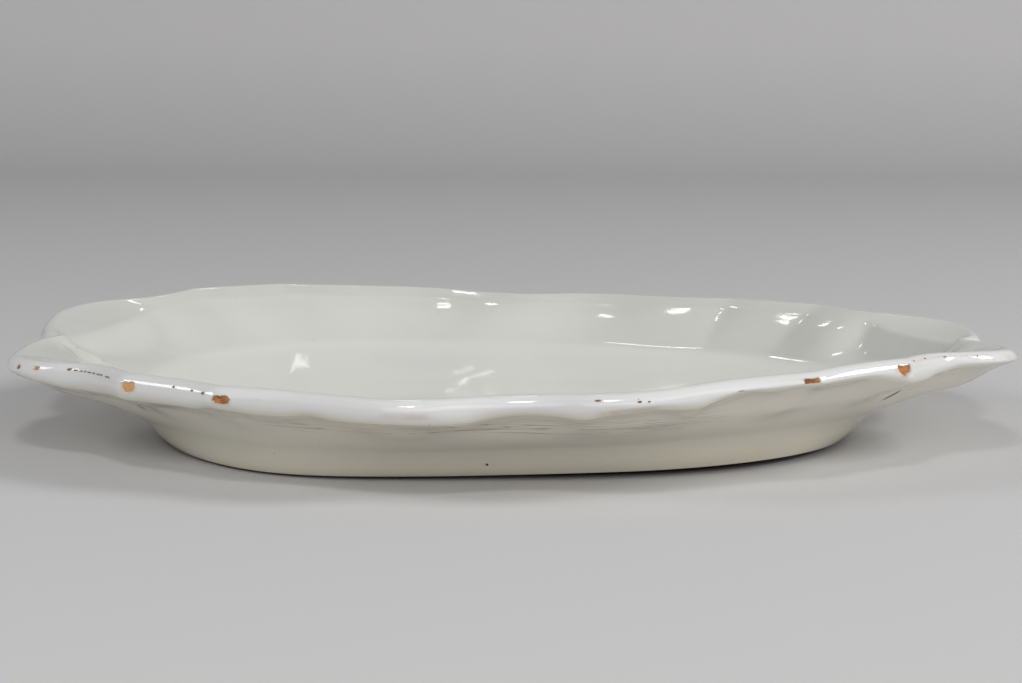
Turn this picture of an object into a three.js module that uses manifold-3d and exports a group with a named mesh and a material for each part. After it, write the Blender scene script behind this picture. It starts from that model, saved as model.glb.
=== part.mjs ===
// Lobed oval serving platter: a pressed red earthenware body under a white tin glaze, its foot wiped bare.
// Millimetres, +Z up, +X along the length. The origin is the middle of the foot, on the table.
import * as THREE from 'three';
import { mergeVertices } from 'three/addons/utils/BufferGeometryUtils.js';
import Module from 'manifold-3d';

// Plan of the lip's crest, one quarter of it: from the middle of a long side to the middle of an end
const crestHalfLength = 205; // platter's middle to the tip of an end ear
const crestHalfWidth = 152.9; // platter's middle to the crown of a side lobe
const sideRecessDepth = 6.5; // shallow recess in the middle of a long side
const crownFromMiddle = 39; // side lobe's crown, along the length
const firstPointFromEnd = 97; // first point of the shoulder, back from the ears' tips
const firstPointSetIn = 20.6; // and in from the crowns
const secondPointFromEnd = 58;
const secondPointSetIn = 45.9;
const earRootFromEnd = 30; // where the shoulder turns out into the ear
const earRootSetIn = 75.4;
const earTipFromMiddle = 42; // ear's tip, across the width
const endNotchDepth = 10.5; // notch between the two ears of an end

// Foot and well
const rimRunEnd = 58; // lip's crest past the foot oval, at the ears
const rimRunSide = 43.9; // lip's crest past the foot oval, at the side crowns
const footSquareness = 2.3; // power of the foot oval: 2 is an ellipse, more is squarer
const landSetIn = 7; // foot's flat land, in from the foot oval
const landWidth = 10;
const footRoll = 8; // how far the outer wall rolls out from the land before it turns up
const recessDepth = 2.5; // hollow under the base, inside the land
const recessDraft = 2;
const floorHeight = 12.5;
const floorSetIn = 78; // edge of the flat floor, in from the foot oval: from here it rises as a shallow dish
const dishPastFoot = 12; // crease between the dish and the rim, past the foot oval
const dishHeight = 20.2;
const dishSlope = 0.171; // rise of the dish at that crease, as a share of its run
const breakPastFoot = 35.2; // where the rim's steep lower face turns into its flatter upper face
const breakHeight = 32.2;
const shoulderPastFoot = 10; // crease between the outer wall and the rim's underside
const shoulderHeight = 12.3;

// Rim and lip
const crestHeight = 40.2; // in the middle of the long sides and ends
const crestLift = 4; // how much the crest rises between them
const lipRadius = 4.7;
const lipInnerDegrees = 110; // the round of the lip runs from the rim's face
const lipUnderDegrees = -68; // over the crest to the rim's underside
const kilnTwist = 3.4; // warped in firing: rise or drop of the rim at the second points of the shoulders
const twistOnset = 3; // height above the table over which the twist sets in

// Glaze
const glazeThickness = 0.8;
const bondGap = 0.3; // between a glaze and the clay that it coats
const wipeLine = 0.16; // share of the outer wall's curve, from the land, that is wiped bare
const baseGlazeClearance = 0.8; // from the rim of the hollow under the base

// Chips knocked off the lip at the points of the near shoulders
const chipLipDegrees = 20;
const chips = [
  { point: 'first', side: -1, length: 9.5, height: 6, depth: 2.2 },
  { point: 'first', side: 1, length: 7, height: 5, depth: 2.1 },
  { point: 'second', side: -1, length: 7, height: 6, depth: 2.1 },
  { point: 'second', side: 1, length: 7.5, height: 6.5, depth: 2.2 },
];

const footHalfLength = crestHalfLength - rimRunEnd;
const footHalfWidth = crestHalfWidth - rimRunSide;
const coatDepth = glazeThickness + bondGap;
const lipZone = 2 * lipRadius; // part of the rim that keeps its section all round

const wasm = await Module();
wasm.setup();

// Plan

// One smooth stretch of the outline: directions in degrees, handles as shares of the chord.
function stretch(start, startDegrees, startPull, end, endDegrees, endPull, steps) {
  const chord = start.distanceTo(end);
  const along = (degrees, length) => {
    const angle = THREE.MathUtils.degToRad(degrees);
    return new THREE.Vector2(Math.cos(angle), Math.sin(angle)).multiplyScalar(length);
  };
  const startHandle = along(startDegrees, startPull * chord).add(start);
  const endHandle = along(endDegrees, -endPull * chord).add(end);
  const curve = new THREE.CubicBezierCurve(start, startHandle, endHandle, end);
  return curve.getPoints(steps).slice(1);
}

const sideMiddle = new THREE.Vector2(0, crestHalfWidth - sideRecessDepth);
const sideCrown = new THREE.Vector2(crownFromMiddle, crestHalfWidth);
const firstPoint = new THREE.Vector2(crestHalfLength - firstPointFromEnd, crestHalfWidth - firstPointSetIn);
const secondPoint = new THREE.Vector2(crestHalfLength - secondPointFromEnd, crestHalfWidth - secondPointSetIn);
const earRoot = new THREE.Vector2(crestHalfLength - earRootFromEnd, crestHalfWidth - earRootSetIn);
const earTip = new THREE.Vector2(crestHalfLength, earTipFromMiddle);
const endNotch = new THREE.Vector2(crestHalfLength - endNotchDepth, 0);

function crestQuarter() {
  return [
    sideMiddle,
    ...stretch(sideMiddle, 0, 0.5, sideCrown, 0, 0.4, 3),
    ...stretch(sideCrown, 0, 0.27, firstPoint, -6, 0.45, 5),
    ...stretch(firstPoint, -44, 0.28, secondPoint, -28, 0.32, 3),
    ...stretch(secondPoint, -57, 0.3, earRoot, -17, 0.3, 3),
    ...stretch(earRoot, -17, 0.4, earTip, -90, 0.4, 4),
    ...stretch(earTip, -90, 0.35, endNotch, -135, 0.35, 3),
  ];
}

// Mirrors a quarter across the width, then along the length, into a closed loop seen clockwise from above.
function mirroredLoop(quarter) {
  const across = quarter.slice(0, -1).reverse();
  const right = [...quarter, ...across.map((p) => new THREE.Vector2(p.x, -p.y))];
  const left = right.slice(1, -1).reverse();
  return [...right, ...left.map((p) => new THREE.Vector2(-p.x, p.y))];
}

const crestLoop = mirroredLoop(crestQuarter());
const turnLoop = crestLoop.map((p) => Math.atan2(p.y / crestHalfWidth, p.x / crestHalfLength));
const footLoop = turnLoop.map(footOval);
const twistPerArea = -kilnTwist / (secondPoint.x * secondPoint.y);

function footOval(turn) {
  const squared = (share) => Math.sign(share) * Math.abs(share) ** (2 / footSquareness);
  return new THREE.Vector2(footHalfLength * squared(Math.cos(turn)), footHalfWidth * squared(Math.sin(turn)));
}

// A point of the section, given where the section cuts an ear, pressed to its place round the lobed oval.
function pressed(place, reach, height) {
  const crest = crestLoop[place];
  const foot = footLoop[place];
  const plan = foot.clone();
  const rimShare = THREE.MathUtils.clamp((reach - footHalfLength) / rimRunEnd, 0, 1);
  if (reach <= footHalfLength) {
    plan.multiplyScalar(reach / footHalfLength);
  } else {
    const run = crest.distanceTo(foot);
    const fromCrest = reach - crestHalfLength;
    const onFlange = ((run - lipZone) * (reach - footHalfLength)) / (rimRunEnd - lipZone);
    plan.lerp(crest, (fromCrest > -lipZone ? run + fromCrest : onFlange) / run);
  }
  const lift = crestLift * rimShare * Math.sin(2 * turnLoop[place]) ** 2;
  const twist = twistPerArea * plan.x * plan.y * (1 - Math.exp(-height / twistOnset));
  return new THREE.Vector3(plan.x, plan.y, height + lift + twist);
}

// Section

const lipCentre = new THREE.Vector2(crestHalfLength, crestHeight - lipRadius);

function lipPoint(degrees) {
  const angle = THREE.MathUtils.degToRad(degrees);
  return new THREE.Vector2(Math.cos(angle), Math.sin(angle)).multiplyScalar(lipRadius).add(lipCentre);
}

// Outer surface of the glaze, from the middle of the floor over the lip and down to the foot's land.
function glazedSection() {
  const floorEdge = new THREE.Vector2(footHalfLength - floorSetIn, floorHeight);
  const dishTop = new THREE.Vector2(footHalfLength + dishPastFoot, dishHeight);
  const corner = new THREE.Vector2(dishTop.x - (dishHeight - floorHeight) / dishSlope, floorHeight);
  const dish = new THREE.QuadraticBezierCurve(floorEdge, corner, dishTop).getPoints(4);
  const rimBreak = new THREE.Vector2(footHalfLength + breakPastFoot, breakHeight);
  const lipArc = [0, 1, 2, 3, 4].map((i) => lipPoint(THREE.MathUtils.lerp(lipInnerDegrees, lipUnderDegrees, i / 4)));
  const shoulder = new THREE.Vector2(footHalfLength + shoulderPastFoot, shoulderHeight);
  return [new THREE.Vector2(0, floorHeight), ...dish, rimBreak, ...lipArc, ...outerWall(shoulder)];
}

// Bowl-shaped outer wall, from the shoulder crease down to where the glaze was wiped off.
function outerWall(shoulder) {
  const landEdge = new THREE.Vector2(footHalfLength - landSetIn, 0);
  const underHandle = new THREE.Vector2(landEdge.x + footRoll, 0);
  const wallHandle = new THREE.Vector2(footHalfLength + shoulderPastFoot / 2, shoulderHeight / 2);
  const wall = new THREE.CubicBezierCurve(landEdge, underHandle, wallHandle, shoulder);
  return [1, 0.75, 0.5, 0.3, wipeLine].map((share) => wall.getPoint(share));
}

// The same section, moved into the clay by a distance at right angles to it.
function sunk(section, distance) {
  return section.map((point, i) => {
    const before = section[Math.max(i - 1, 0)];
    const after = section[Math.min(i + 1, section.length - 1)];
    const first = point.clone().sub(i > 0 ? before : point);
    const second = after.clone().sub(i < section.length - 1 ? point : before);
    const tangent = first.normalize().add(second.normalize()).normalize();
    const mitre = i > 0 && i < section.length - 1 ? Math.max(tangent.dot(second), 0.5) : 1;
    return new THREE.Vector2(tangent.y, -tangent.x).multiplyScalar(distance / mitre).add(point);
  });
}

// Solids

// Turns a section round the axis and presses every ring of it into the platter's plan.
// From the point innerStart on, the section is a coat's inner face, and its four-sided patches are halved
// along their other diagonal, so that they bend as the clay's patches under them do.
function turned(section, innerStart = section.length) {
  const geometry = new THREE.LatheGeometry(section, crestLoop.length);
  const index = geometry.index.array;
  const cornersPerPatch = 6;
  for (let i = 0; i < index.length; i += cornersPerPatch) {
    const [a, b, d, c] = index.slice(i, i + cornersPerPatch);
    if (a % section.length >= innerStart) index.set([a, b, c, a, c, d], i);
  }
  const positions = geometry.getAttribute('position');
  for (let i = 0; i < positions.count; i += 1) {
    const place = Math.floor(i / section.length) % crestLoop.length;
    const { x: reach, y: height } = section[i % section.length];
    positions.setXYZ(i, ...pressed(place, reach, height));
  }
  return geometry;
}

// Merged vertices and triangles with no empty ones: the form in which solids are cut.
function toSolid(geometry) {
  const bare = geometry.clone();
  bare.deleteAttribute('normal');
  bare.deleteAttribute('uv');
  const merged = mergeVertices(bare, 1e-4);
  const index = merged.index.array;
  const triangles = [];
  for (let i = 0; i < index.length; i += 3) {
    const [a, b, c] = index.slice(i, i + 3);
    if (a !== b && b !== c && c !== a) triangles.push(a, b, c);
  }
  const vertProperties = new Float32Array(merged.getAttribute('position').array);
  const triVerts = new Uint32Array(triangles);
  return new wasm.Manifold(new wasm.Mesh({ numProp: 3, vertProperties, triVerts }));
}

function toGeometry(solid) {
  const mesh = solid.getMesh();
  const geometry = new THREE.BufferGeometry();
  geometry.setAttribute('position', new THREE.BufferAttribute(mesh.vertProperties, 3));
  geometry.setIndex(new THREE.BufferAttribute(mesh.triVerts, 1));
  geometry.computeVertexNormals();
  return geometry;
}

// A chip's hollow: a rough ball, its length along the lip, centred on the lip's outer face.
function chipHollow({ point, side, length, height, depth }) {
  const corner = point === 'first' ? firstPoint : secondPoint;
  const place = crestLoop.findIndex((p) => p.x === side * corner.x && p.y === -corner.y);
  const onLip = lipPoint(chipLipDegrees);
  const ball = new THREE.IcosahedronGeometry(1, 1);
  ball.scale(length / 2, depth, height / 2);
  ball.rotateZ(turnLoop[place] + Math.PI / 2);
  ball.translate(...pressed(place, onLip.x, onLip.y));
  return toSolid(ball);
}

function chipped(geometry) {
  const solid = chips.reduce((rest, chip) => rest.subtract(chipHollow(chip)), toSolid(geometry));
  return toGeometry(solid);
}

const glazed = glazedSection();

function clayBody() {
  const underGlaze = sunk(glazed, coatDepth);
  const landOuter = footHalfLength - landSetIn;
  const landInner = landOuter - landWidth;
  const foot = [
    new THREE.Vector2(landOuter, 0),
    new THREE.Vector2(landInner, 0),
    new THREE.Vector2(landInner - recessDraft, recessDepth),
    new THREE.Vector2(0, recessDepth),
  ];
  return chipped(turned([...underGlaze, ...foot]));
}

function glazeCoat() {
  const innerFace = sunk(glazed, glazeThickness).reverse();
  return chipped(turned([...glazed, ...innerFace], glazed.length));
}

function baseGlaze() {
  const edge = footHalfLength - landSetIn - landWidth - recessDraft - baseGlazeClearance;
  const top = recessDepth - bondGap;
  const bottom = top - glazeThickness;
  const section = [
    new THREE.Vector2(0, top),
    new THREE.Vector2(edge, top),
    new THREE.Vector2(edge, bottom),
    new THREE.Vector2(0, bottom),
  ];
  return toGeometry(toSolid(turned(section)));
}

// Finishes

const terracotta = new THREE.MeshStandardMaterial({ color: 0xb9774b, roughness: 0.9, metalness: 0 });
const tinGlaze = new THREE.MeshStandardMaterial({ color: 0xe4e3dc, roughness: 0.12, metalness: 0 });
const thinGlaze = new THREE.MeshStandardMaterial({ color: 0xd9d4c2, roughness: 0.2, metalness: 0 });

function piece(name, geometry, material) {
  const mesh = new THREE.Mesh(geometry, material);
  mesh.name = name;
  return mesh;
}

const platter = new THREE.Group();
platter.add(piece('clay_body', clayBody(), terracotta));
platter.add(piece('glaze_coat', glazeCoat(), tinGlaze));
platter.add(piece('base_glaze', baseGlaze(), thinGlaze));

export default platter;
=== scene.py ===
import math
import bpy
import bmesh
from mathutils import Matrix, Vector, noise
from mathutils.bvhtree import BVHTree


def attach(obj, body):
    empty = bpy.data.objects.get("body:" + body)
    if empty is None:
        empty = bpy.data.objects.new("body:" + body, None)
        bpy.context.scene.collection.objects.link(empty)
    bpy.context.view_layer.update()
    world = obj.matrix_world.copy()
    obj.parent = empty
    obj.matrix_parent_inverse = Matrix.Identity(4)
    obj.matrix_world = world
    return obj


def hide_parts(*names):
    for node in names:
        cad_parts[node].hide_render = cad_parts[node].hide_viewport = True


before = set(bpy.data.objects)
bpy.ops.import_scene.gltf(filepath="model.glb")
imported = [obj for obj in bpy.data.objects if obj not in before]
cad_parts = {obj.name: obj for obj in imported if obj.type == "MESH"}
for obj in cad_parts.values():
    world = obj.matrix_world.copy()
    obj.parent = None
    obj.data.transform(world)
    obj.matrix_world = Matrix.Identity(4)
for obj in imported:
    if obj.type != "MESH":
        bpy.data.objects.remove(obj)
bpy.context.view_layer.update()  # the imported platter: clay body, glaze coat and base glaze, in metres
scene = bpy.context.scene
scene.view_settings.view_transform = "Standard"
mm = 0.001
print("frame loaded:", sorted(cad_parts))

# Form, in millimetres: the solids' driving sizes, and finer ones that only the pictures show
form = {
    "crestHalfLength": 205, "crestHalfWidth": 152.9,  # lip's crest at the ear tips and the side crowns
    "sideRecessDepth": 6.5, "crownFromMiddle": 39,
    "firstPoint": (97, 20.6), "secondPoint": (58, 45.9), "earRoot": (30, 75.4),  # back from the ears, in from the crowns
    "cornerDrift": (1.2, 4.5, 2.7, 5), "driftFall": (0.45, 0.9),  # toward the ends, round from the far right
    "earTipFromMiddle": 42, "endNotchDepth": 10.5,
    "rimRunEnd": 58, "rimRunSide": 43.9, "footSquareness": 2.3, "footShift": -3,
    "footBulge": {"at": (-88, -96), "spread": 58, "push": (-3.5, -9.5)},  # the foot is fuller at its near left
    "landSetIn": 7, "landWidth": 10, "footRoll": 8, "recessDepth": 2.5, "recessDraft": 2,
    "footUndercut": (3.5, 1.5), "landCorner": (0.5, 0.15),  # the wall's foot overhangs the land: run and height
    "floorHeight": 12.5, "floorSetIn": 78, "dishPastFoot": 12, "dishHeight": 20.2, "dishSlope": 0.171,
    "breakPastFoot": 35.2, "breakHeight": 32.2,  # where the rim's steep lower part turns into its flatter upper part
    "dishFillet": 4, "breakFillet": 6, "shoulderPastFoot": 10, "shoulderHeight": 12.3, "shoulderFillet": 7,
    "crestHeight": 40.2, "crestLift": 4, "lipRadius": 4.7, "lipInnerDegrees": 110, "lipUnderDegrees": -68,
    "kilnTwist": 3.4, "twistOnset": 3,
    "glazeThickness": 0.45, "bondGap": 0.03, "wipeLine": 0.36,  # thinner than the solids' coat, as the chips show it
    "baseGlazeClearance": 0.8, "baseGlazeGap": 0.3, "baseGlazeThickness": 0.8,
    "cornerSoftening": 1, "footSoftening": 8, "underSoftening": 160,  # passes that round the outline, as the glaze does
    "stretchSteps": (12, 28, 16, 16, 20, 18),  # steps of a quarter outline, from the side's middle to the end notch
    "wallSteps": 22, "wallJoin": 6, "lipSteps": 22,  # the shoulder's fillet joins the wall at this step
}
footHalfLength = form["crestHalfLength"] - form["rimRunEnd"]
footHalfWidth = form["crestHalfWidth"] - form["rimRunSide"]
lipZone = 2 * form["lipRadius"]  # part of the rim that keeps its section all round
lipCentre = Vector((form["crestHalfLength"], form["crestHeight"] - form["lipRadius"]))


def polar(degrees, length):
    angle = math.radians(degrees)
    return Vector((math.cos(angle), math.sin(angle))) * length


def bezier(handles, steps):
    points = []
    for step in range(steps + 1):
        row = [Vector(handle) for handle in handles]
        while len(row) > 1:
            row = [a.lerp(b, step / steps) for a, b in zip(row, row[1:])]
        points.append(row[0])
    return points


def smoothStep(low, high, value):
    share = min(max((value - low) / (high - low), 0), 1)
    return share * share * (3 - 2 * share)


# Plan: one quarter of the lip's crest, then mirrored both ways
def stretch(start, startDegrees, startPull, end, endDegrees, endPull, steps):
    chord = (end - start).length
    startHandle = start + polar(startDegrees, startPull * chord)
    endHandle = end - polar(endDegrees, endPull * chord)
    return bezier((start, startHandle, endHandle, end), steps)[1:]


def shoulderCorner(name, drift=0, fall=0):
    fromEnd, setIn = form[name]
    return Vector((form["crestHalfLength"] - fromEnd + drift, form["crestHalfWidth"] - setIn - drift * fall))


def crestQuarter(drift):
    sideMiddle = Vector((0, form["crestHalfWidth"] - form["sideRecessDepth"]))
    sideCrown = Vector((form["crownFromMiddle"], form["crestHalfWidth"]))
    firstPoint = shoulderCorner("firstPoint", drift, form["driftFall"][0])
    secondPoint = shoulderCorner("secondPoint", drift, form["driftFall"][1])
    earRoot = shoulderCorner("earRoot")
    earTip = Vector((form["crestHalfLength"], form["earTipFromMiddle"]))
    endNotch = Vector((form["crestHalfLength"] - form["endNotchDepth"], 0))
    steps = form["stretchSteps"]
    quarter = [sideMiddle]
    quarter += stretch(sideMiddle, 0, 0.5, sideCrown, 0, 0.4, steps[0])
    quarter += stretch(sideCrown, 0, 0.27, firstPoint, -6, 0.45, steps[1])
    quarter += stretch(firstPoint, -44, 0.28, secondPoint, -28, 0.32, steps[2])
    quarter += stretch(secondPoint, -57, 0.3, earRoot, -17, 0.3, steps[3])
    quarter += stretch(earRoot, -17, 0.4, earTip, -90, 0.4, steps[4])
    quarter += stretch(earTip, -90, 0.35, endNotch, -135, 0.35, steps[5])
    return quarter[::-1]  # from the end notch, counter-clockwise


def lobedLoop():
    farRight, farLeft, nearLeft, nearRight = [crestQuarter(drift)[:-1] for drift in form["cornerDrift"]]
    sideMiddle = Vector((0, form["crestHalfWidth"] - form["sideRecessDepth"]))
    loop = farRight + [sideMiddle] + [Vector((-p.x, p.y)) for p in farLeft[:0:-1]]
    loop += [Vector((-p.x, -p.y)) for p in nearLeft] + [-sideMiddle]
    return loop + [Vector((p.x, -p.y)) for p in nearRight[:0:-1]]


def softened(loop, passes):
    for _ in range(passes):
        following = loop[1:] + loop[:1]
        loop = [(loop[i - 1] + p * 2 + following[i]) / 4 for i, p in enumerate(loop)]
    return loop


def footOval(turn):
    power = 2 / form["footSquareness"]
    across, along = math.sin(turn), math.cos(turn)
    return Vector((math.copysign(abs(along) ** power, along) * footHalfLength,
                   math.copysign(abs(across) ** power, across) * footHalfWidth))


crestLoop = softened(lobedLoop(), form["cornerSoftening"])
places = len(crestLoop)
turnLoop = [math.atan2(p.y / form["crestHalfWidth"], p.x / form["crestHalfLength"]) for p in crestLoop]
easedLoop = softened(crestLoop, form["underSoftening"])  # the outline with its lobes eased out, for the underside
footOutline = [footOval(math.tau * i / 720) for i in range(720)]
footLoop = [min(footOutline, key=lambda point: (point - eased).length_squared) for eased in easedLoop]
bulge = form["footBulge"]
footLoop = [point + Vector((form["footShift"], 0))
            + Vector(bulge["push"]) * math.exp(-((point - Vector(bulge["at"])).length / bulge["spread"]) ** 2)
            for point in softened(footLoop, form["footSoftening"])]
secondCorner = shoulderCorner("secondPoint")
twistPerArea = -form["kilnTwist"] / (secondCorner.x * secondCorner.y)


def placeAt(turnDegrees):
    # place round the oval, with its fraction, for a turn from the +X end
    turn = math.radians(turnDegrees)
    offset = lambda i: math.remainder(turnLoop[i % places] - turn, math.tau)
    near = min(range(places), key=lambda i: abs(offset(i)))
    step = 1 if offset(near) < 0 else -1
    return near + step * abs(offset(near)) / (abs(offset(near)) + abs(offset(near + step)))


# Depth of the lip below its crest along one long side, where clay and glaze ran and gathered: place and depth.
# The other long side has the same run turned half round.
lipDepths = [(-204, 7.0), (-197, 7.8), (-190, 9.0), (-174, 10.9), (-165, 11.5), (-155, 10.8), (-144, 10.6), (-136, 10.7),
             (-126, 10.5), (-120, 10.9), (-116, 9.0), (-108, 8.9), (-100, 10.2), (-90, 10.5), (-86, 10.5), (-77, 8.9),
             (-63, 10.1), (-43, 9.8), (-19, 10.9), (-12.5, 10.2), (-8.5, 8.6), (5, 7.9), (16, 8.5), (27, 9.8),
             (35, 8.1), (53, 7.4), (62, 8.8), (70, 9.8), (74, 7.6), (86, 5.7), (99, 7.0), (108, 5.8), (117, 6.6),
             (136, 6.7), (146, 9.0), (157, 11.3), (162, 11.0), (168, 9.0), (179, 6.8), (204, 6.4)]


def lipDepth(place):
    crest = crestLoop[place]
    along = crest.x if crest.y < 0 else -crest.x
    for (left, leftDepth), (right, rightDepth) in zip(lipDepths, lipDepths[1:]):
        if along <= right:
            return leftDepth + (rightDepth - leftDepth) * smoothStep(left, right, max(along, left))
    return lipDepths[-1][1]


roundDepth = 2 * form["lipRadius"]
sagLoop = [depth.x - roundDepth for depth in softened([Vector((lipDepth(place), 0)) for place in range(places)], 2)]


# Ears: each is a nearly flat tongue outside a straight edge, from which a steep bank drops onto a low bench
earTongue = {"edgeAtNotch": 194.5, "edgeSlope": 0.38, "dip": 4, "dipPower": 0.8, "bankSlope": 1.15, "blend": 2.5,
             "blendOnset": (2, 9), "benchSlope": 0.36, "benchZone": (88, 62), "benchOnset": (1.5, 6)}


def tongueReach(place):
    # how far the tongue reaches in from the crest
    crest, inward = crestLoop[place], (footLoop[place] - crestLoop[place]).normalized()
    past = abs(crest.x) + earTongue["edgeSlope"] * abs(crest.y) - earTongue["edgeAtNotch"]
    return max(past / (abs(inward.x) + earTongue["edgeSlope"] * abs(inward.y)), 0)


tongueLoop = [reach.x for reach in softened([Vector((tongueReach(place), 0)) for place in range(places)], 4)]


def tongueRaise(place, reach, fromCrest):
    # how far the tongue, its bank and the bench stand above the plain inner slope
    tongue, fall = tongueLoop[place], slopeFall(reach)
    inEnd = smoothStep(*earTongue["benchZone"], abs(crestLoop[place].y)) * smoothStep(*earTongue["benchOnset"], fromCrest)
    bench = form["dishHeight"] + earTongue["benchSlope"] * (reach - footHalfLength - form["dishPastFoot"])
    low = (bench - form["crestHeight"] + fall) * inEnd
    if tongue < 0.5:
        return low
    top = -earTongue["dip"] * (min(fromCrest, tongue) / tongue) ** earTongue["dipPower"]
    top -= earTongue["bankSlope"] * max(fromCrest - tongue, 0)
    blend = earTongue["blend"] * smoothStep(*earTongue["blendOnset"], fromCrest)
    over = top + fall - low
    near = max(blend - abs(over), 0)
    return low + max(over, 0) + (near * near / (4 * blend) if blend else 0)


def slopeFall(reach):
    # fall of the rim's plain inner slope below the crest
    breakReach, dishReach = footHalfLength + form["breakPastFoot"], footHalfLength + form["dishPastFoot"]
    if reach > breakReach:
        share = (form["crestHalfLength"] - reach) / (form["crestHalfLength"] - breakReach)
        return share * (form["crestHeight"] - form["breakHeight"])
    share = (breakReach - reach) / (breakReach - dishReach)
    return form["crestHeight"] - form["breakHeight"] + share * (form["breakHeight"] - form["dishHeight"])


# How the underside is told from the face, how its lobes ease out, and how far the face's lobes run down the rim
underRim = {"height": 12, "slope": 0.41, "easeRun": 22, "sagZone": (-16, -3), "sagOnset": (0.5, -1)}
lobes = {"carry": 0.7, "start": 0.05, "startAtEnds": 0.4, "endZone": (72, 50), "onset": 6}


def pressed(place, reach, height):
    # a point of the section through an ear, pressed to its place round the lobed oval
    crest, foot = crestLoop[place], footLoop[place]
    past = reach - footHalfLength
    fromCrest = reach - form["crestHalfLength"]
    rimShare = min(max(past / form["rimRunEnd"], 0), 1)
    underside = height < underRim["height"] + underRim["slope"] * past
    if underside:
        crest = crest.lerp(easedLoop[place], smoothStep(-lipZone, -lipZone - underRim["easeRun"], fromCrest))
    if past <= 0:
        plan = foot * (reach / footHalfLength)
    else:
        run = (crest - foot).length
        onFlange = (run - lipZone) * past / (form["rimRunEnd"] - lipZone)
        share = (run + fromCrest if fromCrest > -lipZone else onFlange) / run
        plan = foot.lerp(crest, share)
        if not underside and fromCrest < -lipZone:  # the lobes run far down the rim at the shoulders, not at the ends
            inEnd = smoothStep(*lobes["endZone"], abs(crest.y))
            lobed = smoothStep(lobes["start"] + lobes["startAtEnds"] * inEnd, 1 - lipZone / run, share)
            onset = smoothStep(-lipZone, -lipZone - lobes["onset"], fromCrest)
            plan += (crest - easedLoop[place]) * (lobed - share) * lobes["carry"] * onset
    lift = form["crestLift"] * rimShare * math.sin(2 * turnLoop[place]) ** 2
    twist = twistPerArea * plan.x * plan.y * (1 - math.exp(-height / form["twistOnset"]))
    underLip = smoothStep(*underRim["sagZone"], fromCrest)
    underLip *= smoothStep(*underRim["sagOnset"], (height - lipCentre.y) / form["lipRadius"])
    raised = 0
    if not underside and past > form["dishPastFoot"] and fromCrest < 0:
        raised = tongueRaise(place, reach, (crest - plan).length)
    return Vector((plan.x, plan.y, height + lift + twist + raised - sagLoop[place] * underLip))


# Section through an ear: reach from the axis and height above the table
def lipPoint(degrees):
    return lipCentre + polar(degrees, form["lipRadius"])


def toward(start, end, distance):
    return start + (end - start).normalized() * distance


def glazedSection():
    floorEdge = Vector((footHalfLength - form["floorSetIn"], form["floorHeight"]))
    dishTop = Vector((footHalfLength + form["dishPastFoot"], form["dishHeight"]))
    rimBreak = Vector((footHalfLength + form["breakPastFoot"], form["breakHeight"]))
    inner, under = lipPoint(form["lipInnerDegrees"]), lipPoint(form["lipUnderDegrees"])
    corner = Vector((dishTop.x - (dishTop.y - floorEdge.y) / form["dishSlope"], floorEdge.y))
    shoulder = Vector((footHalfLength + form["shoulderPastFoot"], form["shoulderHeight"]))
    landEdge = Vector((footHalfLength - form["landSetIn"], 0))
    wallHandle = Vector((footHalfLength + form["shoulderPastFoot"] / 2, form["shoulderHeight"] / 2))
    wall = bezier((shoulder, wallHandle, landEdge + Vector((form["footRoll"], 0)), landEdge), form["wallSteps"])
    wall = wall[:-round(form["wallSteps"] * form["wipeLine"])]
    fromUnder = under.lerp(shoulder, 1 - form["shoulderFillet"] / (under - shoulder).length)
    lipTurn = form["lipUnderDegrees"] - form["lipInnerDegrees"]
    lipTurns = [form["lipInnerDegrees"] + lipTurn * i / form["lipSteps"] for i in range(form["lipSteps"] + 1)]
    dish = bezier((floorEdge, corner, dishTop), 14)
    pastDish = toward(dishTop, rimBreak, form["dishFillet"])
    beforeBreak = toward(rimBreak, dishTop, form["breakFillet"])
    pastBreak = toward(rimBreak, inner, form["breakFillet"])
    section = bezier(((0, floorEdge.y), floorEdge), 6)[:-1] + dish[:-1]
    section += bezier((dish[-2], dishTop, pastDish), 6)[1:]
    section += bezier((pastDish, beforeBreak), 6)[1:]
    section += bezier((beforeBreak, rimBreak, pastBreak), 6)[1:]
    section += bezier((pastBreak, inner), 6)[1:-1]
    section += [lipPoint(degrees) for degrees in lipTurns]
    section += bezier((under, fromUnder), 12)[1:-1]
    section += bezier((fromUnder, shoulder, wall[form["wallJoin"]]), 8)[:-1]
    return section + wall[form["wallJoin"]:]


def sunk(section, distance):
    # the same section, moved into the clay at right angles to it
    inside = []
    for i, point in enumerate(section):
        tangent = section[min(i + 1, len(section) - 1)] - section[max(i - 1, 0)]
        tangent.normalize()
        inside.append(point + Vector((tangent.y, -tangent.x)) * distance)
    return inside


# Hand-made unevenness: soft swells all over, smaller ones round the lip
handWork = {"swellLength": 52, "swell": 0.28, "rippleLength": 15, "ripple": 0.16}


def unevenness(point, nearLip):
    swell = noise.noise(point / handWork["swellLength"]) * handWork["swell"]
    ripple = noise.noise(point / handWork["rippleLength"] + Vector((7, 3, 1))) * handWork["ripple"]
    return swell + ripple * (0.25 + 0.75 * nearLip)


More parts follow.
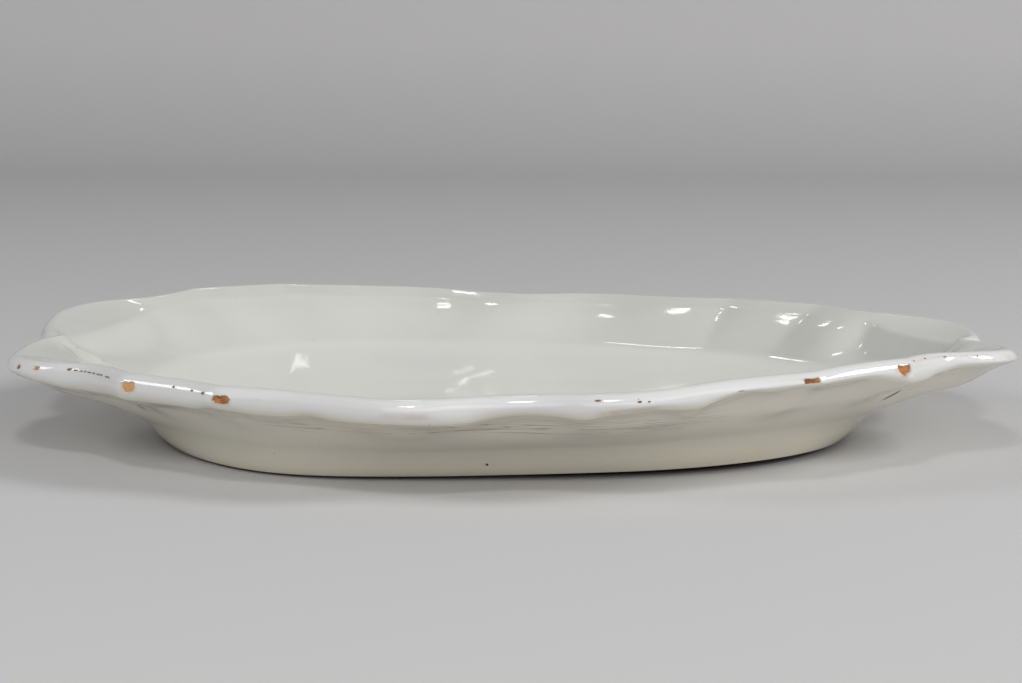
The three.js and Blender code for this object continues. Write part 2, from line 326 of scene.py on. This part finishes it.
def spunShape(section):
    # spins the section, presses it into the lobed oval and keeps where each point came from
    bm = bmesh.new()
    profile = [bm.verts.new((reach, 0, height)) for reach, height in section]
    rails = [bm.edges.new(pair) for pair in zip(profile, profile[1:])]
    bmesh.ops.spin(bm, geom=profile + rails, cent=(0, 0, 0), axis=(0, 0, 1), angle=math.tau, steps=places,
                   use_merge=True)
    bmesh.ops.remove_doubles(bm, verts=bm.verts, dist=1e-4)
    riseLayer = bm.verts.layers.float.new("rise")
    lipLayer = bm.verts.layers.float.new("lipTurn")
    sideLayer = bm.verts.layers.float.new("roundTurn")
    for vert in bm.verts:
        reach, height = math.hypot(vert.co.x, vert.co.y), vert.co.z
        place = round(math.atan2(vert.co.y, vert.co.x) * places / math.tau) % places
        vert[riseLayer] = height
        fromLip = Vector((reach, height)) - lipCentre
        vert[lipLayer] = math.degrees(math.atan2(fromLip.y, fromLip.x)) if fromLip.length < form["lipRadius"] + 1 else -180
        vert[sideLayer] = math.degrees(turnLoop[place])
        vert.co = pressed(place, reach, height)
    bmesh.ops.recalc_face_normals(bm, faces=bm.faces)
    bm.normal_update()
    if max(bm.faces, key=lambda face: face.calc_center_median().z).normal.z < 0:
        bmesh.ops.reverse_faces(bm, faces=bm.faces)
        bm.normal_update()
    moves = [(vert, vert.normal * unevenness(vert.co, smoothStep(20, 34, vert[riseLayer]))
              * smoothStep(0, 4, vert[riseLayer])) for vert in bm.verts]
    for vert, move in moves:
        vert.co += move
    return bm


def asObject(bm, name, material, unit=mm):
    bmesh.ops.scale(bm, vec=(unit, unit, unit), verts=bm.verts)
    mesh = bpy.data.meshes.new(name)
    bm.to_mesh(mesh)
    bm.free()
    obj = bpy.data.objects.new(name, mesh)
    scene.collection.objects.link(obj)
    if material:
        mesh.materials.append(material)
    return obj


def finished(obj, smoothDegrees):
    # takes in the live modifiers and shades the result
    bpy.context.view_layer.update()
    evaluated = obj.evaluated_get(bpy.context.evaluated_depsgraph_get())
    mesh = bpy.data.meshes.new_from_object(evaluated)
    obj.modifiers.clear()
    obj.data = mesh
    mesh.shade_smooth()
    mesh.set_sharp_from_angle(angle=math.radians(smoothDegrees))
    return obj


# Materials
def hexColor(text):
    channels = [int(text[i:i + 2], 16) / 255 for i in (0, 2, 4)]
    linear = [c / 12.92 if c <= 0.04045 else ((c + 0.055) / 1.055) ** 2.4 for c in channels]
    return (*linear, 1)


def newMaterial(name):
    material = bpy.data.materials.new(name)
    material.use_nodes = True
    material.node_tree.nodes.clear()
    return material, material.node_tree


def addNode(tree, kind, inputs=None, **settings):
    node = tree.nodes.new("ShaderNode" + kind)
    for name, value in settings.items():
        setattr(node, name, value)
    for name, value in (inputs or {}).items():
        if isinstance(value, bpy.types.NodeSocket):
            tree.links.new(value, node.inputs[name])
        else:
            node.inputs[name].default_value = value
    return node


def field(tree, place, length, detail):
    # soft noise, with its length in millimetres
    return addNode(tree, "TexNoise", {"Vector": place, "Scale": 1 / (length * mm), "Detail": detail}).outputs["Fac"]


def ranged(tree, value, low, high, toLow=0, toHigh=1):
    return addNode(tree, "MapRange", {"Value": value, "From Min": low, "From Max": high, "To Min": toLow,
                                      "To Max": toHigh}).outputs["Result"]


def calc(tree, operation, *values):
    return addNode(tree, "Math", dict(enumerate(values)), operation=operation).outputs["Value"]


def blended(tree, share, color, other):
    return addNode(tree, "Mix", {"Factor": share, "A": color, "B": other}, data_type="RGBA").outputs["Result"]


def surfaced(tree, inputs):
    shader = addNode(tree, "BsdfPrincipled", inputs)
    addNode(tree, "OutputMaterial", {"Surface": shader.outputs["BSDF"]})


# the pooled colour is partly pooled glaze and partly painted light on the dish floor; the lip colour is a painted cool
# sheen; the back colour is partly the back's yellower glaze and partly painted fill light
glazeLook = {
    "rim": "d0d1cb", "pooledAndLit": "dbdcd5", "cloud": "cbccc5", "cloudLength": 38, "lip": "dbdbda", "back": "e7e3d6",
    "footward": "e4dec8", "drag": "857e72", "dragLength": 60, "dragSpacing": 1.3, "dragWidth": 0.024,
    "stain": "a9805f", "stainLength": 6, "thinned": "b98d78", "bruise": "ecebe6", "speckLength": 0.9,
    "ochre": "b07c36", "grime": "5f3d28", "pin": "75644e", "pinSpacing": 13, "pinRadius": 0.2,
    "peelLength": 2.4, "roughness": 0.075, "wornRoughness": 0.45, "ior": 1.52,
}


def tinGlaze():
    # opaque white tin glaze, dipped and fired: glassy and a little cloudy, whitest where it pooled in the dish, with
    # painted light on the dish floor, yellower on the back and painted lighter there as fill light, with a painted cool
    # sheen on the lip, dragged into fine lines under the lip, worn and soiled along the edge
    look = glazeLook
    material, tree = newMaterial("tinGlaze")
    place = addNode(tree, "TexCoord").outputs["Object"]
    marks = {name: addNode(tree, "Attribute", attribute_name=name).outputs["Fac"]
             for name in ("poolAndLight", "edge", "outsideAndFill", "footward", "stain", "thin", "drag", "bruise", "grime", "soil")}

    def patches(length, detail, low, high, mark):
        # patchy share of the surface: noise of a real size, sharpened, where the mark is
        return calc(tree, "MULTIPLY", ranged(tree, field(tree, place, length, detail), low, high), mark)

    def tinted(color, share, tint):
        return blended(tree, share, color, hexColor(tint))

    clouded = ranged(tree, field(tree, place, look["cloudLength"], 3), 0.3, 0.7)
    color = tinted(hexColor(look["rim"]), clouded, look["cloud"])
    # pooled glaze with painted light in the dish, the painted lip sheen, the yellower back with painted fill light, and
    # the warmer foot
    for mark, tint in (("poolAndLight", "pooledAndLit"), ("edge", "lip"), ("outsideAndFill", "back"), ("footward", "footward")):
        color = tinted(color, marks[mark], look[tint])
    # fine level lines under the lip: a field that is drawn out round the platter
    parts = addNode(tree, "SeparateXYZ", {"Vector": place}).outputs
    level = calc(tree, "MULTIPLY", parts["Z"], look["dragLength"] / look["dragSpacing"])
    drawn = addNode(tree, "CombineXYZ", {"X": parts["X"], "Y": parts["Y"], "Z": level}).outputs["Vector"]
    apart = calc(tree, "ABSOLUTE", calc(tree, "SUBTRACT", field(tree, drawn, look["dragLength"], 2), 0.5))
    line = calc(tree, "MULTIPLY", ranged(tree, apart, look["dragWidth"], 0), marks["drag"])
    color = tinted(color, line, look["drag"])
    color = tinted(color, patches(look["stainLength"], 6, 0.2, 0.9, marks["stain"]), look["stain"])
    worn = patches(look["speckLength"], 2, 0.35, 0.65, marks["thin"])
    color = tinted(color, worn, look["thinned"])
    pins = addNode(tree, "TexVoronoi", {"Vector": place, "Scale": 1 / (look["pinSpacing"] * mm)}).outputs["Distance"]
    pinShare = look["pinRadius"] / look["pinSpacing"]
    color = tinted(color, ranged(tree, pins, pinShare * 1.4, pinShare * 0.7), look["pin"])
    bruised = patches(look["speckLength"], 2, 0.35, 0.6, marks["bruise"])
    color = tinted(color, bruised, look["bruise"])
    rubbedIn = tinted(hexColor(look["ochre"]), marks["soil"], look["grime"])
    color = blended(tree, marks["grime"], color, rubbedIn)
    rough = ranged(tree, calc(tree, "MAXIMUM", worn, bruised), 0, 1, look["roughness"], look["wornRoughness"])
    peel = field(tree, place, look["peelLength"], 1)
    bump = addNode(tree, "Bump", {"Height": peel, "Strength": 0.03, "Distance": 0.2 * mm}).outputs["Normal"]
    bump = addNode(tree, "Bump", {"Height": line, "Strength": 0.25, "Distance": 0.15 * mm, "Normal": bump},
                   invert=True).outputs["Normal"]
    surfaced(tree, {"Base Color": color, "Roughness": rough, "IOR": look["ior"], "Normal": bump})
    return material


baseLook = {"glaze": "d6d1bf", "thin": "c4b08f", "scuff": "b9b3a6", "patchLength": 30, "scuffLength": 4,
            "roughness": 0.18, "scuffedRoughness": 0.5, "ior": 1.5}


def thinGlaze():
    # the same glaze, thinner under the base: the clay warms it in patches, and tables have scuffed it dull
    look = baseLook
    material, tree = newMaterial("thinGlaze")
    place = addNode(tree, "TexCoord").outputs["Object"]
    patch = field(tree, place, look["patchLength"], 4)
    color = blended(tree, patch, hexColor(look["glaze"]), hexColor(look["thin"]))
    scuff = field(tree, place, look["scuffLength"], 6)
    scuffed = ranged(tree, scuff, 0.5, 0.7)
    color = blended(tree, scuffed, color, hexColor(look["scuff"]))
    rough = ranged(tree, scuffed, 0, 1, look["roughness"], look["scuffedRoughness"])
    bump = addNode(tree, "Bump", {"Height": scuff, "Strength": 0.15, "Distance": 0.2 * mm}).outputs["Normal"]
    surfaced(tree, {"Base Color": color, "Roughness": rough, "IOR": look["ior"], "Normal": bump})
    return material


# the table band's soil is table dirt and painted contact shade together
clayLook = {"pale": "d3a36c", "fired": "bd7d4f", "dark": "422d1e", "grainLength": 0.8, "blotchLength": 3,
            "roughness": 0.9, "usualSoil": 0.45, "tableSoilAndShade": 1.2, "soilShadeFrom": 0.1, "soilShadeTo": 5}


def terracotta():
    # bare fired red earthenware: matt orange-tan with open grain, browner where dirt has rubbed in, darkest in a band
    # at the table, with table dirt and painted contact shade
    look = clayLook
    material, tree = newMaterial("terracotta")
    place = addNode(tree, "TexCoord").outputs["Object"]
    soil = addNode(tree, "Attribute", attribute_name="soil").outputs["Fac"]
    grain = field(tree, place, look["grainLength"], 5)
    blotch = ranged(tree, field(tree, place, look["blotchLength"], 3), 0.3, 0.7, -0.2, 0.2)
    rubbed = calc(tree, "ADD", soil, blotch)
    color = blended(tree, ranged(tree, rubbed, 0.1, 0.5), hexColor(look["pale"]), hexColor(look["fired"]))
    color = blended(tree, ranged(tree, rubbed, 0.5, 1), color, hexColor(look["dark"]))
    bump = addNode(tree, "Bump", {"Height": grain, "Strength": 0.5, "Distance": 0.25 * mm}).outputs["Normal"]
    surfaced(tree, {"Base Color": color, "Roughness": look["roughness"], "Normal": bump})
    return material


# Glaze knocked or worn off the lip. Turn round the oval and round the lip are in degrees, sizes in millimetres;
# an outline is twelve radii, from the right, over the top. Soil runs from a fresh break to one black with use.
lipChips = [
    {"turn": -121.7, "lip": 4, "depth": 1.1, "soil": 0.55, "grime": 0.1,
     "outline": (3.9, 3.4, 2.2, 1.5, 2.0, 3.2, 3.9, 2.9, 2.1, 2.0, 2.1, 3.2)},
    {"turn": -135.6, "lip": 6, "depth": 0.85, "soil": 0.12, "grime": 0.05,
     "outline": (3.2, 3.3, 2.3, 1.7, 2.2, 3.2, 3.2, 2.9, 2.2, 2.2, 2.1, 2.7)},
    {"turn": -57.5, "lip": 16, "depth": 0.95, "soil": 0.66, "grime": 0.1,
     "outline": (3.4, 3.3, 1.8, 1.4, 1.8, 3.3, 3.3, 3.0, 1.7, 1.6, 1.8, 3.2)},
    {"turn": -43.0, "lip": 10, "depth": 1.0, "soil": 0.62, "grime": 0.1,
     "outline": (3.2, 4.0, 2.3, 1.7, 2.1, 4.0, 3.4, 2.6, 2.3, 3.2, 2.1, 2.6)},
    {"turn": -153.0, "lip": 32, "depth": 0.75, "soil": 0.3, "grime": 0.2, "size": (3.4, 1.9)},
    {"turn": -156.2, "lip": 26, "depth": 0.8, "soil": 0.95, "grime": 0.8, "size": (2.2, 2.4)},
]
lipSpecks = [(-128.9, 30, 1.3, 1.1), (-126.0, 28, 1.1, 1.0), (-124.2, 24, 1.5, 1.2), (-81.5, 36, 2.4, 0.8),
             (-77.4, 20, 1.8, 0.9), (-76.4, 16, 1.1, 0.8), (-65.5, -4, 2.8, 0.9), (169.2, 46, 2.2, 1.8),
             (6.9, 24, 2.0, 1.7)]
wornRuns = [  # dashes along the lip: turn, lip, length, height
    (-149.0, 34, 2.4, 1.2), (-148.1, 31, 2.8, 0.5), (-147.2, 29, 2.6, 0.4), (-146.4, 29, 1.6, 0.8), (-145.5, 28, 2.8, 0.45),
    (-144.5, 28, 2.0, 0.7), (-143.3, 27, 3.0, 0.5), (-142.4, 28, 1.8, 0.8), (-140.6, 27, 4.0, 0.4),
    (-40.4, 48, 1.6, 0.7), (-36.9, 48, 2.0, 0.6), (-32.3, 44, 2.2, 0.6), (-28.4, 40, 1.6, 0.6),
    (31.0, 45, 3.0, 0.6), (33.5, 48, 1.8, 0.7), (52.0, 40, 2.4, 0.7),
    (118.0, 30, 2.2, 0.8), (120.5, 34, 3.0, 0.7), (141.0, 28, 3.4, 0.8), (143.5, 30, 1.6, 0.7)]
# The same away from the lip: place, the way it runs and size in millimetres
skinMarks = [
    {"at": (-148.4, -80.7, 23.5), "along": (1, -0.4, -0.3), "size": (4.6, 2.6), "depth": 0.4, "soil": 0.0, "grime": 0.35},
    {"at": (153.2, -73.9, 27.9), "along": (6.5, -1.6, 4.0), "size": (8.8, 2.3), "depth": 0.4, "soil": 0.0, "grime": 0.95},
    {"at": (-9.8, -113.0, 7.4), "along": (1, 0, 0), "size": (1.0, 1.3), "depth": 0.35, "soil": 1, "grime": 1},
]


def lipAt(place, degrees, outward):
    # a point on the lip's uneven skin, or a distance outside it
    lower = math.floor(place)
    sides = []
    for side in (lower % places, (lower + 1) % places):
        skin = pressed(side, *lipPoint(degrees))
        sides.append(pressed(side, *(lipPoint(degrees) + polar(degrees, outward + unevenness(skin, 1)))))
    return sides[0].lerp(sides[1], place - lower)


def ovalOutline(length, height):
    turns = [math.radians(30 * i) for i in range(12)]
    return [length * height / 2 / math.hypot(height * math.cos(turn), length * math.sin(turn)) for turn in turns]


def roughBall(bm, outline, depth, seed):
    # a ball for a chip: each point with its place along and up the skin, and its height above it, rough and hollow below
    ball = bmesh.ops.create_icosphere(bm, subdivisions=4 if max(outline) > 1.5 else 3, radius=1)["verts"]
    shift = Vector((seed * 4.7, seed * 2.9, 0))
    for vert in ball:
        x, y, z = vert.co
        step = (math.atan2(z, x) / math.radians(30)) % 12
        low = int(step) % 12
        radius = outline[low] + (outline[(low + 1) % 12] - outline[low]) * (step - int(step))
        flat = Vector((x, z, 0))
        radius *= 1 + 0.14 * noise.noise(flat * 3.1 + shift) + 0.08 * noise.noise(flat * 7 + shift)
        hollow = depth * abs(y) ** 0.7 * (1 + 0.45 * noise.noise(flat * 4.4 - shift))
        yield vert, x * radius, z * radius, -hollow if y < 0 else 1.2 * y


def chipCutters(skin):
    bm = bmesh.new()
    layers = {name: bm.verts.layers.float.new(name) for name in ("soil", "grime")}
    worn = [{"turn": turn, "lip": lip, "size": (length, height), "depth": 0.6, "soil": 0.8, "grime": 0.8}
            for turn, lip, length, height in lipSpecks + wornRuns]
    for seed, chip in enumerate(lipChips + worn + skinMarks, 1):
        outline = chip.get("outline") or ovalOutline(*chip["size"])
        if "turn" in chip:
            place = placeAt(chip["turn"])
            whole = round(place)
            spacing = (crestLoop[(whole + 1) % places] - crestLoop[(whole - 1) % places]).length / 2
        else:
            spot, normal = skin.find_nearest(Vector(chip["at"]))[:2]
            along = Vector(chip["along"])
            along = (along - normal * along.dot(normal)).normalized()
        for vert, aside, up, out in roughBall(bm, outline, chip["depth"], seed):
            if "turn" in chip:
                vert.co = lipAt(place + aside / spacing, chip["lip"] + math.degrees(up / form["lipRadius"]), out)
            else:
                vert.co = spot + along * aside + normal.cross(along) * up + normal * out
            for name, layer in layers.items():
                vert[layer] = chip[name]
    bmesh.ops.recalc_face_normals(bm, faces=bm.faces)
    return asObject(bm, "chipCutters", None)


def cutChips(obj, cutters):
    cut = obj.modifiers.new("chips", "BOOLEAN")
    cut.operation = "DIFFERENCE"
    cut.solver = "MANIFOLD"
    cut.object = cutters


# Pieces
glazed = glazedSection()
coatSkin = spunShape(glazed)
cutters = chipCutters(BVHTree.FromBMesh(coatSkin))

# Soiled, thinned and bruised stretches of the lip: turn from and to, lip from and to, strength
lipMarks = {
    "stain": [(-103, -98.5, -20, 0, 0.4), (-81, -75.5, -50, -20, 0.6), (60, 66, 0, 40, 0.5), (96, 104, -20, 20, 0.6),
              (160, 176, 0, 50, 0.5)],
    "thin": [(-41, -27, 40, 50, 0.5), (-24, -18, -20, 30, 0.3), (20, 44, 45, 60, 0.5), (138, 150, 25, 40, 0.5)],
    "bruise": [(-43.6, -41.4, -35, -8, 0.9), (-58.4, -56.6, -5, 8, 0.6), (-122.6, -121.0, -10, 0, 0.5)],
}
dragStretches = [(-119, -66, 0.9), (62, 112, 0.8)]  # turn from and to, strength


def markShare(turn, lip, marks):
    share = 0
    for turnFrom, turnTo, lipFrom, lipTo, strength in marks:
        inTurn = smoothStep(turnFrom - 1, turnFrom + 0.6, turn) * smoothStep(turnTo + 1, turnTo - 0.6, turn)
        inLip = smoothStep(lipFrom - 8, lipFrom + 4, lip) * smoothStep(lipTo + 8, lipTo - 4, lip)
        share = max(share, strength * inTurn * inLip)
    return share


def glazeCoat(bm):
    names = ("poolAndLight", "edge", "outsideAndFill", "footward", "drag", "grime", *lipMarks)
    layers = {name: bm.verts.layers.float.new(name) for name in names}
    riseLayer, lipLayer, turnLayer = [bm.verts.layers.float[name] for name in ("rise", "lipTurn", "roundTurn")]
    for vert in bm.verts:
        rise, turn, faceUp = vert[riseLayer], vert[turnLayer], vert.normal.z
        back = smoothStep(0.3, -0.1, faceUp)
        # whiter low inside the dish: partly pooled glaze, partly painted light on the floor that faces the light from
        # above
        vert[layers["poolAndLight"]] = (1 - back) * smoothStep(22, 18.5, rise)
        # a painted cool sheen on the lip's outer half
        vert[layers["edge"]] = smoothStep(100, 50, vert[lipLayer]) * smoothStep(-110, -70, vert[lipLayer])
        # the back's own yellower glaze, painted lighter as fill light on the faces turned down
        vert[layers["outsideAndFill"]] = back * max(smoothStep(24, 19, rise), smoothStep(-0.15, -0.7, faceUp))
        vert[layers["footward"]] = back * smoothStep(13, 3, rise) * 0.7
        dragged = sum(strength * smoothStep(start - 4, start + 6, turn) * smoothStep(end + 4, end - 6, turn)
                      for start, end, strength in dragStretches)
        vert[layers["drag"]] = back * dragged * smoothStep(21.5, 23.5, vert.co.z) * smoothStep(31, 29, vert.co.z)
        for name, marks in lipMarks.items():
            vert[layers[name]] = markShare(turn, vert[lipLayer], marks)
    obj = asObject(bm, "glazeCoat", tinGlaze())
    wall = obj.modifiers.new("thickness", "SOLIDIFY")
    wall.thickness = form["glazeThickness"] * mm
    wall.offset = -1
    cutChips(obj, cutters)
    return finished(obj, 40)


def clayBody():
    landOuter = footHalfLength - form["landSetIn"]
    landInner = landOuter - form["landWidth"]
    undercut, gap = form["footUndercut"]  # a dark gap shows under the wall's foot
    cornerRun, cornerHeight = form["landCorner"]
    foot = [Vector((landOuter - undercut + cornerRun, gap)), Vector((landOuter - undercut, cornerHeight)),
            Vector((landOuter - undercut - cornerRun, 0)), Vector((landInner, 0)),
            Vector((landInner - form["recessDraft"], form["recessDepth"])), Vector((0, form["recessDepth"]))]
    bm = spunShape(sunk(glazed, form["glazeThickness"] + form["bondGap"]) + foot)
    soilAndShadeLayer = bm.verts.layers.float.new("soil")
    for vert in bm.verts:
        # darkest where the foot meets the table: table dirt, and painted contact shade
        atTable = clayLook["soilShadeFrom"] < vert.co.z < clayLook["soilShadeTo"] and vert.normal.z < 0.5
        vert[soilAndShadeLayer] = clayLook["tableSoilAndShade"] if atTable else clayLook["usualSoil"]
    obj = asObject(bm, "clayBody", terracotta())
    cutChips(obj, cutters)
    return finished(obj, 40)


def baseGlaze():
    edge = footHalfLength - form["landSetIn"] - form["landWidth"] - form["recessDraft"] - form["baseGlazeClearance"]
    top = form["recessDepth"] - form["baseGlazeGap"]
    bottom = top - form["baseGlazeThickness"]
    section = bezier(((0, top), (edge, top)), 8) + bezier(((edge, bottom), (0, bottom)), 8)
    return finished(asObject(spunShape(section), "baseGlaze", thinGlaze()), 40)


coat = glazeCoat(coatSkin)
body = clayBody()
base = baseGlaze()
bpy.data.objects.remove(cutters)
for piece, node, slot in ((coat, "glaze_coat", "tin_glaze"), (body, "clay_body", "terracotta"),
                          (base, "base_glaze", "base_glaze")):
    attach(piece, "root")
    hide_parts(node)
    print(piece.name, "faces:", len(piece.data.polygons))

# Stage, in metres: a pale table that sweeps up into the backdrop
stageLook = {
    # the rising part's lighter colour is painted light
    "color": "c6c5c5", "litRise": "d2d0d1", "riseFrom": 0.005, "riseTo": 0.13, "roughness": 0.95,
    "halfWidth": 2.4, "front": -1.8, "back": 1.9, "height": 2.2, "sweep": 0.5, "sweepSteps": 12,
}


def paleCloth():
    # plain matt cover: even and pale, with painted light that makes it a little lighter where it rises behind
    look = stageLook
    material, tree = newMaterial("paleCloth")
    height = addNode(tree, "SeparateXYZ", {"Vector": addNode(tree, "TexCoord").outputs["Object"]}).outputs["Z"]
    litRise = ranged(tree, height, look["riseFrom"], look["riseTo"])
    color = blended(tree, litRise, hexColor(look["color"]), hexColor(look["litRise"]))
    surfaced(tree, {"Base Color": color, "Roughness": look["roughness"]})
    return material


def paleSweep():
    look = stageLook
    bm = bmesh.new()
    turns = [math.radians(90 * i / look["sweepSteps"]) for i in range(look["sweepSteps"] + 1)]
    bend = [(look["back"] - look["sweep"] + look["sweep"] * math.sin(a), look["sweep"] - look["sweep"] * math.cos(a))
            for a in turns]
    line = [(look["front"], 0)] + bend + [(look["back"], look["height"])]
    verts = [bm.verts.new((-look["halfWidth"], y, z)) for y, z in line]
    edges = [bm.edges.new(pair) for pair in zip(verts, verts[1:])]
    grown = bmesh.ops.extrude_edge_only(bm, edges=edges)["geom"]
    moved = [item for item in grown if isinstance(item, bmesh.types.BMVert)]
    bmesh.ops.translate(bm, verts=moved, vec=(2 * look["halfWidth"], 0, 0))
    bmesh.ops.recalc_face_normals(bm, faces=bm.faces)
    obj = asObject(bm, "sweep", paleCloth(), unit=1)
    obj.data.shade_smooth()


paleSweep()

# Light: soft lamps in front and at both sides, the right one stronger, and small ones that the glaze mirrors
lamps = [
    {"name": "frontLamp", "at": (0, -2.2, 1.0), "size": (2.4, 1.2), "watts": 15},
    {"name": "frontRightLamp", "at": (1.6, -1.7, 1.5), "size": (1.6, 1.2), "watts": 9},
    {"name": "frontLeftLamp", "at": (-1.6, -1.7, 1.5), "size": (1.6, 1.2), "watts": 3},
    {"name": "rightLamp", "at": (2.1, -0.3, 1.3), "size": (0.7, 0.7), "watts": 32},
    {"name": "leftLamp", "at": (-2.1, -0.3, 1.3), "size": (0.7, 0.7), "watts": 12.5},
    {"name": "frontSpot", "at": (-0.12, -0.98, 1.3), "size": (0.28, 0.18), "watts": 4.2},
    {"name": "backSpot", "at": (-0.11, 0.93, 0.86), "size": (0.06, 0.04), "watts": 0.09},
    {"name": "topSpot", "at": (-0.10, 0.75, 1.40), "size": (0.10, 0.06), "watts": 0.24},
]


def aimed(at, target):
    return (Vector(target) - Vector(at)).to_track_quat("-Z", "Y").to_euler()


for lamp in lamps:
    light = bpy.data.lights.new(lamp["name"], "AREA")
    light.shape = "RECTANGLE"
    light.size, light.size_y = lamp["size"]
    light.energy = lamp["watts"]
    holder = bpy.data.objects.new(lamp["name"], light)
    holder.location = lamp["at"]
    holder.rotation_euler = aimed(lamp["at"], (0, 0, 0.03))
    scene.collection.objects.link(holder)

world = bpy.data.worlds.new("studio")
world.use_nodes = True
world.node_tree.nodes["Background"].inputs["Color"].default_value = hexColor("fafcff")
world.node_tree.nodes["Background"].inputs["Strength"].default_value = 0.15
scene.world = world

# Camera at the photograph's angle
photoView = {"elevation": 8.6, "azimuth": 0.2, "roll": 0.27, "distance": 1003, "aim": (-0.3, 0, 38.1),
             "focalPixels": 2307, "frameWidth": 1022}


def photoCamera():
    view = photoView
    data = bpy.data.cameras.new("photoCamera")
    data.sensor_width = 36
    data.lens = data.sensor_width * view["focalPixels"] / view["frameWidth"]
    data.clip_end = 20
    camera = bpy.data.objects.new("photoCamera", data)
    aim = Vector(view["aim"]) * mm
    elevation, azimuth = math.radians(view["elevation"]), math.radians(view["azimuth"])
    away = Vector((-math.sin(azimuth) * math.cos(elevation), -math.cos(azimuth) * math.cos(elevation),
                   math.sin(elevation)))
    camera.location = aim + away * view["distance"] * mm
    turn = (-away).to_track_quat("-Z", "Y").to_matrix() @ Matrix.Rotation(math.radians(view["roll"]), 3, "Z")
    camera.rotation_euler = turn.to_euler()
    scene.collection.objects.link(camera)
    scene.camera = camera


photoCamera()
